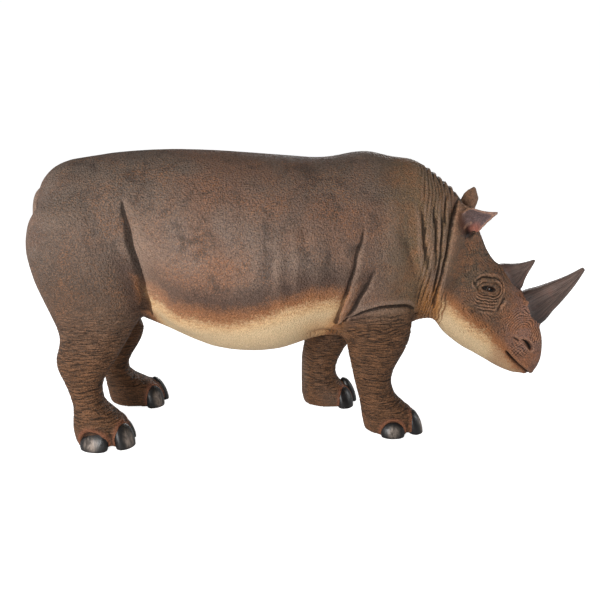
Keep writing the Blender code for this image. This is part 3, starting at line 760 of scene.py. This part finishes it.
def horn(node):
    """A horn of matted hair: fine strands down its length, and a few swollen rings near its root."""
    item = copy_of_node(node, "_finish")
    subdivided(item, 2)
    remeshed(item, 0.0042)
    smoothed(item, 6)
    mesh = item.data
    points, normals = shape_of(mesh)
    straight = on_straight_head(points)
    left, share = beside(HORN_LINES[node], straight[:, [0, 2]])
    angle = np.arctan2(straight[:, 1], left)
    thin = rise(1.0, 0.75, share)
    grain = np.stack((np.cos(angle), np.sin(angle), 0.9 * share), axis=1)
    strands = wrinkles(angle, math.tau / 26, 1.3, grain, 0.8, 61) * rise(-0.4, 0.4, wander(grain, 0.7, 64))
    bundles = wander(grain * (1, 1, 0.5), 0.7, 62)
    rings = wander(grain * (0.3, 0.3, 3.0), 0.6, 63) * rise(0.6, 0.15, share)
    lift = thin * (0.001 * strands + 0.002 * bundles) + 0.0012 * rings + 0.001
    give_corners(mesh, points + normals * lift[:, None])
    layer = mesh.attributes.new("grain", "FLOAT_VECTOR", "POINT")
    layer.data.foreach_set("vector", grain.astype(np.float32).ravel())
    write_on(mesh, toward_tip=share, strand=strands)
    mesh.shade_smooth()
    return item


def nail(foot, toe, middle, turn):
    """A thick rounded nail with fine upright growth lines, worn flat where it meets the floor."""
    item = ball(f"nail_{foot}_{toe.name}_finish", segments=64, ring_count=40, radius=1)
    mesh = item.data
    unit = corners_of(mesh)
    unit /= (np.abs(unit) ** NAIL_FULLNESS).sum(axis=1, keepdims=True) ** (1 / NAIL_FULLNESS)
    local = unit * (NAIL_DEPTH * 1.02, toe.width / 2, toe.height * NAIL_RISE)
    lines = wrinkles(local[:, 1], 0.0062, 0.35, unit * (1, 3, 0.6), 1.2, 71)
    waves = wander(unit * (1, 1.4, 0.35), 0.9, 72)
    front = rise(0, 0.3, unit[:, 0])
    local[:, 0] += front * (0.0007 * lines + 0.0016 * waves - 0.002 * rise(0.75, 0.95, unit[:, 2]))
    points = local @ turn.T + middle
    points[:, 2] = points[:, 2].clip(0)
    give_corners(mesh, points)
    # painted shade: the nails that face away from the front light keep only a little of their pale paint
    faces_away = foot == "fore_left" or (foot == "fore_right" and toe.name == "inner")
    paleness = bell(np.hypot(unit[:, 1], unit[:, 2]), 0.62) * front * (SHADED_NAIL_PALENESS if faces_away else 1)
    write_on(mesh, middle=paleness, line=lines)
    edited(item, bpy.ops.mesh.remove_doubles, threshold=0.0002)
    edited(item, bpy.ops.mesh.normals_make_consistent, inside=False)
    mesh.shade_smooth()
    return item


def eyeball(side_name):
    """A glass eye: a ball with a clear bulge in front of a dark iris."""
    side = SIDES[side_name]
    item = ball(f"eye_{side_name}_finish", segments=64, ring_count=48, radius=EYE_RADIUS)
    points = corners_of(item.data)
    gaze = np.array((0.16, side * 0.97, -0.06))
    gaze /= np.linalg.norm(gaze)
    off_centre = np.arccos(np.clip(points @ gaze / EYE_RADIUS, -1, 1))
    points *= (1 + 0.035 * bell(off_centre, 0.55))[:, None]
    give_corners(item.data, points @ np.array(HEAD_TURN).T + np.array(turned(EYE, side)))
    write_on(item.data, off_centre=off_centre)
    item.data.shade_smooth()
    return item


# ---- finishes ----

WHITE, FLOOR_GREY = (1, 1, 1), (0.8, 0.8, 0.8)
# the hide's ground colour twice: lit, for the painted pool of light on the flank, and shaded, over the back
LIT_FLANK_GREY, LIT_FLANK_RED = (0.235, 0.164, 0.128), (0.25, 0.138, 0.09)
FLANK_DARK, FLANK_LIGHT = (0.078, 0.055, 0.044), (0.225, 0.15, 0.112)
SHADED_BACK_OLIVE, SHADED_BACK_RED = (0.146, 0.108, 0.084), (0.172, 0.102, 0.072)
FLECK_WARMTH, FLECK_ORANGE, FLECK_BLUE = (1.75, 1.22, 0.85), (0.285, 0.135, 0.068), (0.062, 0.054, 0.053)
LEG_DARK, LEG_RED, LEG_RIDGE = (0.07, 0.037, 0.019), (0.162, 0.074, 0.034), (0.235, 0.113, 0.053)
NECK_BROWN, NECK_RED, HAUNCH = (0.2, 0.128, 0.064), (0.285, 0.15, 0.07), (0.094, 0.062, 0.044)
HEAD_BROWN, HEAD_RED, HEAD_RIDGE = (0.11, 0.071, 0.041), (0.232, 0.108, 0.052), (0.5, 0.26, 0.15)
THROAT, HEAD_STREAK = (0.42, 0.175, 0.046), (0.062, 0.048, 0.035)
MUZZLE_PINK, MUZZLE_ORANGE, JAW_TAN = (0.34, 0.175, 0.13), (0.39, 0.165, 0.085), (0.33, 0.185, 0.1)
LOW_BAND, RUST = (0.08, 0.046, 0.034), (0.35, 0.135, 0.048)
CREAM, CREAM_DEEP, CREAM_PALE = (0.62, 0.41, 0.22), (0.44, 0.235, 0.105), (0.6, 0.44, 0.26)
EAR_GREY, EAR_MAUVE = (0.115, 0.092, 0.092), (0.18, 0.112, 0.11)
EAR_PINK, EAR_ROOT_SHADE = (0.38, 0.12, 0.078), (0.05, 0.018, 0.014)
GROOVE_DARK, CREAM_GROOVE, NEAR_BLACK = (0.02, 0.012, 0.008), (0.26, 0.12, 0.05), (0.005, 0.004, 0.004)
RIDGE, NAIL_RIM = (0.33, 0.22, 0.16), (0.23, 0.075, 0.042)
HORN_DARK, HORN_BROWN, HORN_RED = (0.026, 0.016, 0.013), (0.105, 0.063, 0.05), (0.15, 0.06, 0.042)
HORN_PALE, HORN_ROOT = (0.33, 0.225, 0.18), (0.018, 0.01, 0.008)
NAIL_BLACK, NAIL_GREY = (0.006, 0.005, 0.005), (0.29, 0.23, 0.19)
PUPIL, IRIS_DARK, IRIS_BROWN = (0.002, 0.002, 0.002), (0.008, 0.004, 0.002), (0.03, 0.012, 0.006)
EYE_CORNER = (0.07, 0.048, 0.038)


class Amount:
    """A number that varies over a surface. A sum with it is a step of its recipe."""

    def __init__(self, recipe, socket):
        self.recipe, self.socket = recipe, socket

    def sum(self, operation, other):
        return self.recipe.amount("ShaderNodeMath", "Value", {0: self, 1: other}, operation=operation)

    def __add__(self, other):
        return self.sum("ADD", other)

    def __mul__(self, other):
        return self.sum("MULTIPLY", other)

    def __pow__(self, other):
        return self.sum("POWER", other)

    def or_more(self, other):
        return self.sum("MAXIMUM", other)

    def ramp(self, low, high, out_low=0, out_high=1):
        """Smoothly from out_low at low to out_high at high; low may be the larger."""
        inputs = {"Value": self, "From Min": low, "From Max": high, "To Min": out_low, "To Max": out_high}
        return self.recipe.amount("ShaderNodeMapRange", "Result", inputs, interpolation_type="SMOOTHSTEP")


class Recipe:
    """A material, painted coat over coat on a ground colour, with bump upon bump."""

    def __init__(self, name, shelf=bpy.data.materials):
        self.material = shelf.new(name)
        self.material.use_nodes = True
        self.tree = self.material.node_tree
        self.place = self.add("ShaderNodeTexCoord").outputs["Object"]
        self.colour = self.normal = None

    def add(self, kind, inputs=(), **settings):
        node = self.tree.nodes.new(kind)
        for name, value in settings.items():
            setattr(node, name, value)
        for socket, value in dict(inputs).items():
            self.give(node.inputs[socket], value)
        return node

    def give(self, socket, value):
        if isinstance(value, Amount):
            value = value.socket
        if isinstance(value, bpy.types.NodeSocket):
            self.tree.links.new(value, socket)
        elif socket.type == "RGBA":
            socket.default_value = (*value, 1)
        else:
            socket.default_value = value

    def amount(self, kind, output, inputs=(), **settings):
        return Amount(self, self.add(kind, inputs, **settings).outputs[output])

    def mask(self, name):
        return self.amount("ShaderNodeAttribute", "Fac", attribute_name=name)

    def stretched(self, scale, place=None, turn=(0, 0, 0)):
        inputs = {"Vector": place or self.place, "Scale": scale, "Rotation": turn}
        return self.add("ShaderNodeMapping", inputs).outputs["Vector"]

    def shaken(self, place, amount, scale):
        """A place moved about by noise, so that cells lose their straight sides."""
        sway = self.add("ShaderNodeTexNoise", {"Vector": place, "Scale": scale, "Detail": 2}).outputs["Color"]
        inputs = {"Fac": amount, "Color1": place, "Color2": sway}
        return self.add("ShaderNodeMixRGB", inputs, blend_type="ADD").outputs["Color"]

    def noise(self, scale, detail, rough, twist=0, place=None):
        inputs = dict(Vector=place or self.place, Scale=scale, Detail=detail, Roughness=rough)
        return self.amount("ShaderNodeTexNoise", "Fac", {**inputs, "Distortion": twist})

    def cells(self, scale, place=None, feature="F1"):
        inputs = {"Vector": place or self.place, "Scale": scale}
        return self.amount("ShaderNodeTexVoronoi", "Distance", inputs, feature=feature)

    def cracks(self, scale, place, width):
        """1 in the cracks between small plates of hide."""
        return self.cells(scale, place, "DISTANCE_TO_EDGE").ramp(width, 0)

    def mix(self, amount, a, b, blend="MIX"):
        inputs = {0: amount, 6: a, 7: b}
        return self.add("ShaderNodeMix", inputs, data_type="RGBA", blend_type=blend).outputs[2]

    def coat(self, amount, colour, blend="MIX"):
        self.colour = self.mix(amount, self.colour, colour, blend)

    def bump(self, height, depth):
        inputs = {"Height": height, "Distance": depth, "Strength": 1}
        if self.normal:
            inputs["Normal"] = self.normal
        self.normal = self.add("ShaderNodeBump", inputs).outputs["Normal"]

    def finish(self, roughness, gloss=()):
        """The material, with its colour, bump and gloss on the shader."""
        looks = {"Base Color": self.colour, "Roughness": roughness, "Normal": self.normal, **dict(gloss)}
        for name, value in looks.items():
            if value is not None:
                self.give(self.tree.nodes["Principled BSDF"].inputs[name], value)
        return self.material


def hide_paint():
    """Umber washed over red brown, in a shaded copy over the back and a lit copy in a painted pool of light
    on the flank; darker in every groove by a dark wash and painted shade, lighter on every ridge by dry
    brush, with a painted highlight on the folds' lips; cream on belly and jaw, with a rust edge sprayed
    between."""
    paint = Recipe("hide_paint")
    mask, noise, mix, coat = paint.mask, paint.noise, paint.mix, paint.coat
    relief, fold, leg, head, over_cream, inside, ear_along, ear_down = map(mask, (
        "relief", "fold", "leg", "head", "cream", "ear_inside", "ear_along", "ear_down"))
    big = noise(2.6, 3, 0.5, 0.4)
    middling = noise(10, 4, 0.6, 0.6)
    small = noise(70, 4, 0.65)
    fleck = noise(105, 3, 0.6, 0.5)
    pebbles = paint.cells(88)
    # long lying creases on the legs, fading out on the feet
    lying_place = paint.shaken(paint.stretched((1, 1, 9)), 0.075, 8)
    lying = noise(17, 3, 0.6, 0.3, lying_place)
    height = paint.amount("ShaderNodeSeparateXYZ", "Z", {"Vector": paint.place})
    on_shank = leg.ramp(0.15, 0.8) * height.ramp(0.07, 0.16, 0.25, 1)
    crease = paint.cracks(11.5, lying_place, 0.11) * on_shank * lying.ramp(0.62, 0.42, 0.25, 1)
    # small plates on head and body
    plates = paint.cracks(76, paint.shaken(paint.place, 0.014, 34), 0.24)
    plates *= leg.ramp(0.3, 0.8, 1, 0.1) * inside.ramp(0, 0.6, 1, 0)

    # ground colours: a shaded copy over the back, a lit copy where the painted pool of light lies on the
    # flank; slanting streaks on the cheeks
    paint.colour = mix(big.ramp(0.38, 0.62), SHADED_BACK_OLIVE, SHADED_BACK_RED)
    coat(mask("flank_glow"), mix(big.ramp(0.36, 0.64), LIT_FLANK_GREY, LIT_FLANK_RED))
    coat(middling.ramp(0.48, 0.7, 0, 0.8), FLANK_DARK)
    coat(middling.ramp(0.4, 0.24, 0, 0.45), FLANK_LIGHT)
    coat(mask("neck") * 0.85, mix(middling.ramp(0.38, 0.62), NECK_BROWN, NECK_RED))
    coat(mask("haunch") * 0.85, HAUNCH)
    coat(leg, mix(lying.ramp(0.36, 0.62), LEG_DARK, LEG_RED))
    slanting = noise(24, 4, 0.6, 0.5, paint.stretched((1, 1, 4.2), turn=(0, 0.75, 0)))
    head_colour = mix(middling.ramp(0.38, 0.6), HEAD_BROWN, HEAD_RED)
    head_colour = mix(slanting.ramp(0.5, 0.6, 0, 0.66), head_colour, HEAD_STREAK)
    muzzle = mix(middling.ramp(0.42, 0.6), MUZZLE_PINK, MUZZLE_ORANGE)
    coat(head * 0.85, mix(mask("muzzle") * 0.85, head_colour, muzzle))
    # flecks of orange brown and of blue grey, as dry brushing leaves them on grained hide
    drift = noise(5, 3, 0.55, 0.5)
    quiet = leg.ramp(0, 0.8, 1, 0.45)
    orange = mix(0.5, mix(1, paint.colour, FLECK_WARMTH, "MULTIPLY"), FLECK_ORANGE)
    coat(fleck.ramp(0.49, 0.61) * drift.ramp(0.38, 0.68, 0.15, 0.8) * quiet, orange)
    blue = mix(0.5, paint.colour, FLECK_BLUE)
    coat(fleck.ramp(0.5, 0.38) * drift.ramp(0.65, 0.35, 0.4, 0.85) * quiet, blue)

    # the sprayed dark band, the rust edge and the cream
    ragged = over_cream + middling * 0.09 + small * 0.1 + fleck * 0.09 + -0.14
    coat(ragged.ramp(0.24, 0.1) * ragged.ramp(0, 0.08) * head.ramp(0, 1, 0.8, 0.35), LOW_BAND)
    coat(ragged.ramp(0.105, 0.01) * ragged.ramp(-0.07, -0.01) * 0.8, RUST)
    clouds = noise(30, 4, 0.65, 0.5, paint.stretched((1, 1, 2.5)))
    cream = mix(clouds.ramp(0.38, 0.72), CREAM, CREAM_DEEP)
    cream = mix(over_cream.ramp(-0.03, -0.12), cream, CREAM_PALE)
    cream = mix(mask("muzzle").ramp(0, 0.9, 0, 0.75), cream, JAW_TAN)
    coat(ragged.ramp(0.02, -0.045), cream)
    coat(mask("throat") * 0.92, THROAT)

    # ears, with painted shade deep at the root of each hollow
    ribs = noise(70, 3, 0.6, 0, paint.stretched((1, 1, 3)))
    ear = mix(ribs.ramp(0.35, 0.65), EAR_GREY, EAR_MAUVE)
    ear = mix(ear_down.ramp(0, 0.65) * ear_along.ramp(0.5, 0.22) * 0.85, ear, EAR_PINK)
    # painted shade, near black, toward the root of the ear's hollow
    coat(inside, mix(ear_along.ramp(0.16, 0.02), ear, EAR_ROOT_SHADE))

    # darker between the pebbles; a dark wash and painted shade in the grooves, creases and cracks, painted
    # shade in the folds; dry brush on the ridges, a painted highlight on the folds' lips
    plain = over_cream.ramp(-0.06, 0.02, 0.1, 1)
    gap = pebbles.ramp(0.3, 0.7)
    coat(gap * plain * 0.34, mix(0.62, paint.colour, GROOVE_DARK))
    # painted shade, over a dark wash, in grooves, creases and cracks, and painted shade alone in the folds
    hollow = (relief.ramp(-0.02, -0.5) * 0.95).or_more(fold.ramp(0.4, 1) * 0.94)
    hollow = (hollow * inside.ramp(0, 1, 1, 0.25)).or_more(crease * 0.82)
    hollow = hollow.or_more(plates * plain * head.ramp(0, 1, 0.26, 0.16))
    coat(hollow, mix(plain, CREAM_GROOVE, mix(0.9, paint.colour, GROOVE_DARK)))
    # ridges lighter by dry brush; the lips of the folds lighter as a painted highlight
    rubbed = (relief.ramp(0.03, 0.46) * small.ramp(0.35, 0.62, 0.35, 1)).or_more(mask("fold_lip") * 0.8)
    between = lying.ramp(0.5, 0.64) * on_shank * small.ramp(0.35, 0.65, 0.3, 0.9)
    ridge = mix(head * 0.8, mix(leg, RIDGE, LEG_RIDGE), HEAD_RIDGE)
    coat(rubbed.or_more(between) * plain * 0.5, ridge)
    coat(mask("nail_rim") * 0.5, NAIL_RIM)
    speck = noise(210, 3, 0.6).ramp(0.32, 0.7, 0.72, 1.28)
    coat(1, paint.add("ShaderNodeCombineColor", {0: speck, 1: speck, 2: speck}).outputs[0], "MULTIPLY")
    # near black painted shade in the mouth, the nostril, under the ears and in and round the eye's slit
    coat(mask("dark"), NEAR_BLACK)

    # the surface: pebbles, fine pits, creases and cracks, weaker on cream, ears and head
    soft = over_cream.ramp(-0.06, 0.03, 0.3, 1) * inside.ramp(0, 0.6, 1, 0.2) * head.ramp(0, 1, 1, 0.6)
    paint.bump((pebbles ** 1.6 * -1 + 1) * soft, 0.004)
    paint.bump(small * soft, 0.0055)
    paint.bump(crease.or_more(plates * 0.4) * -1, 0.0034)
    paint.bump(fleck, 0.0022)
    return paint.finish((small + gap * 0.2).ramp(0.3, 0.8, 0.44, 0.66), {"Specular IOR Level": 0.2})


def horn_paint():
    """Dark charcoal, a red tinge under it, streaked lengthwise and rubbed pale toward the tip."""
    paint = Recipe("horn_paint")
    grain = paint.add("ShaderNodeAttribute", attribute_name="grain").outputs["Vector"]
    tip = paint.mask("toward_tip")
    streaks = paint.noise(9, 5, 0.65, 0.5, paint.stretched((1, 1, 0.22), grain))
    fibres = paint.noise(24, 5, 0.7, 0.8, paint.stretched((1, 1, 0.13), grain))
    paint.colour = paint.mix(streaks.ramp(0.35, 0.65), HORN_DARK, HORN_BROWN)
    paint.coat(paint.noise(12, 3, 0.5).ramp(0.5, 0.7, 0, 0.6), HORN_RED)
    paint.coat(fibres.ramp(0.42, 0.68) * tip.ramp(0.1, 0.95, 0.3, 0.95), HORN_PALE)
    paint.coat(paint.mask("strand").ramp(-0.15, -0.9, 0, 0.45), HORN_DARK)
    paint.coat(tip.ramp(0.42, 0.06, 0, 0.75), HORN_ROOT)
    paint.bump(fibres, 0.0022)
    paint.bump(streaks, 0.003)
    return paint.finish(fibres.ramp(0.3, 0.7, 0.36, 0.56))


def nail_paint():
    """Black at the edges, a grey horn colour dry-brushed over the middle of each nail, little of it on the
    nails that face away, as painted shade.
    """
    paint = Recipe("nail_paint")
    upright = paint.noise(60, 4, 0.6, 0.2, paint.stretched((1, 1, 0.16)))
    cloud = paint.noise(40, 4, 0.6)
    brushed = paint.mask("middle").ramp(0.25, 0.95) * (upright + cloud * 0.5).ramp(0.6, 0.92, 0.25, 1)
    paint.colour = paint.mix(brushed, NAIL_BLACK, NAIL_GREY)
    paint.coat(paint.mask("line").ramp(-0.2, -0.9, 0, 0.4), NAIL_BLACK)
    paint.bump(upright, 0.0016)
    return paint.finish(cloud.ramp(0.3, 0.7, 0.3, 0.5))


def glass_eye():
    """A dark brown iris round a black pupil, under a clear wet coat."""
    paint = Recipe("glass_eye")
    off = paint.mask("off_centre")
    flecks = paint.noise(420, 3, 0.6)
    iris = paint.mix(flecks.ramp(0.35, 0.7), IRIS_DARK, IRIS_BROWN)
    paint.colour = paint.mix(off.ramp(0.36, 0.44), PUPIL, iris)
    paint.coat(off.ramp(0.95, 1.2), EYE_CORNER)
    paint.bump(flecks, 0.0001)
    gloss = {"Coat Weight": 0.22, "Coat Roughness": 0.03, "Specular IOR Level": 0.15}
    return paint.finish(off.ramp(0.6, 0.9, 0.16, 0.3), gloss)


# ---- the statue ----

def place_piece(item, material, slot, *nodes):
    item.data.materials.append(material)
    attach(item, "root")
    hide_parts(*nodes)


place_piece(sculpted_skin(), hide_paint(), "hide", *FLESH, *THIN_FLESH)
horn_finish, nail_finish, eye_finish = horn_paint(), nail_paint(), glass_eye()
for node in HORN_LINES:
    place_piece(horn(node), horn_finish, "horn", node)
for foot in FEET:
    for toe, middle, turn in foot_frames(foot):
        place_piece(nail(foot, toe, middle, turn), nail_finish, "nail", f"nail_{foot}_{toe.name}")
for side_name in SIDES:
    place_piece(eyeball(side_name), eye_finish, "eye", f"eye_{side_name}")


# ---- the studio ----

# the strength of the even room light, and of the floor's own glow
ROOM_LIGHT, ROOM_SEEN, FLOOR_GLOW = 0.2, 1.02, 0.88
LIGHTS = (
    # name, place, aim, size, watts
    ("front_softbox", (-3, -5.9, 2.5), (-0.2, 0, 0.85), 3.2, 495),
    ("rear_softbox", (1.5, 6.4, 2.6), (0, 0, 0.8), 3.2, 150),
    ("head_softbox", (7, 0.8, 2.4), (0.9, 0, 0.85), 2.6, 110),
    ("tail_softbox", (-7, 1.5, 2.4), (-0.9, 0, 0.85), 2.6, 110),
)


def studio():
    """A pale floor without an edge, soft lights on all four sides, and an even pale room."""
    pick_up()
    bpy.ops.mesh.primitive_plane_add(size=400, location=(0, 0, 0))
    floor = bpy.context.object
    floor.name = "studio_floor"
    floor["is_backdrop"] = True
    paint = Recipe("studio_floor_paint")
    paint.colour = FLOOR_GREY
    glow = paint.amount("ShaderNodeLightPath", "Is Camera Ray") * FLOOR_GLOW
    floor.data.materials.append(paint.finish(0.9, {"Emission Color": WHITE, "Emission Strength": glow}))

    for name, place, aim, size, power in LIGHTS:
        bpy.ops.object.light_add(type="AREA", location=place)
        light = bpy.context.object
        light.name = name
        light.data.energy = power
        light.data.size = size
        light.rotation_euler = (Vector(aim) - Vector(place)).to_track_quat("-Z", "Y").to_euler()

    room = Recipe("studio_room", bpy.data.worlds)
    bpy.context.scene.world = room.material
    light = room.tree.nodes["Background"].inputs
    room.give(light["Color"], WHITE)
    seen = room.amount("ShaderNodeLightPath", "Is Camera Ray")
    room.give(light["Strength"], seen.ramp(0, 1, ROOM_LIGHT, ROOM_SEEN))


studio()
bpy.ops.object.camera_add(
    location=(-0.2975, -4.2, 1.88), rotation=(math.radians(75.2), 0, math.radians(-3)))
camera = bpy.context.object
camera.data.lens = 42.6
camera.data.sensor_width = 36
bpy.context.scene.camera = camera
bpy.context.scene.view_settings.view_transform = "Standard"
[[list(corner) for corner in box] for box in (CAD_BOX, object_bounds())]
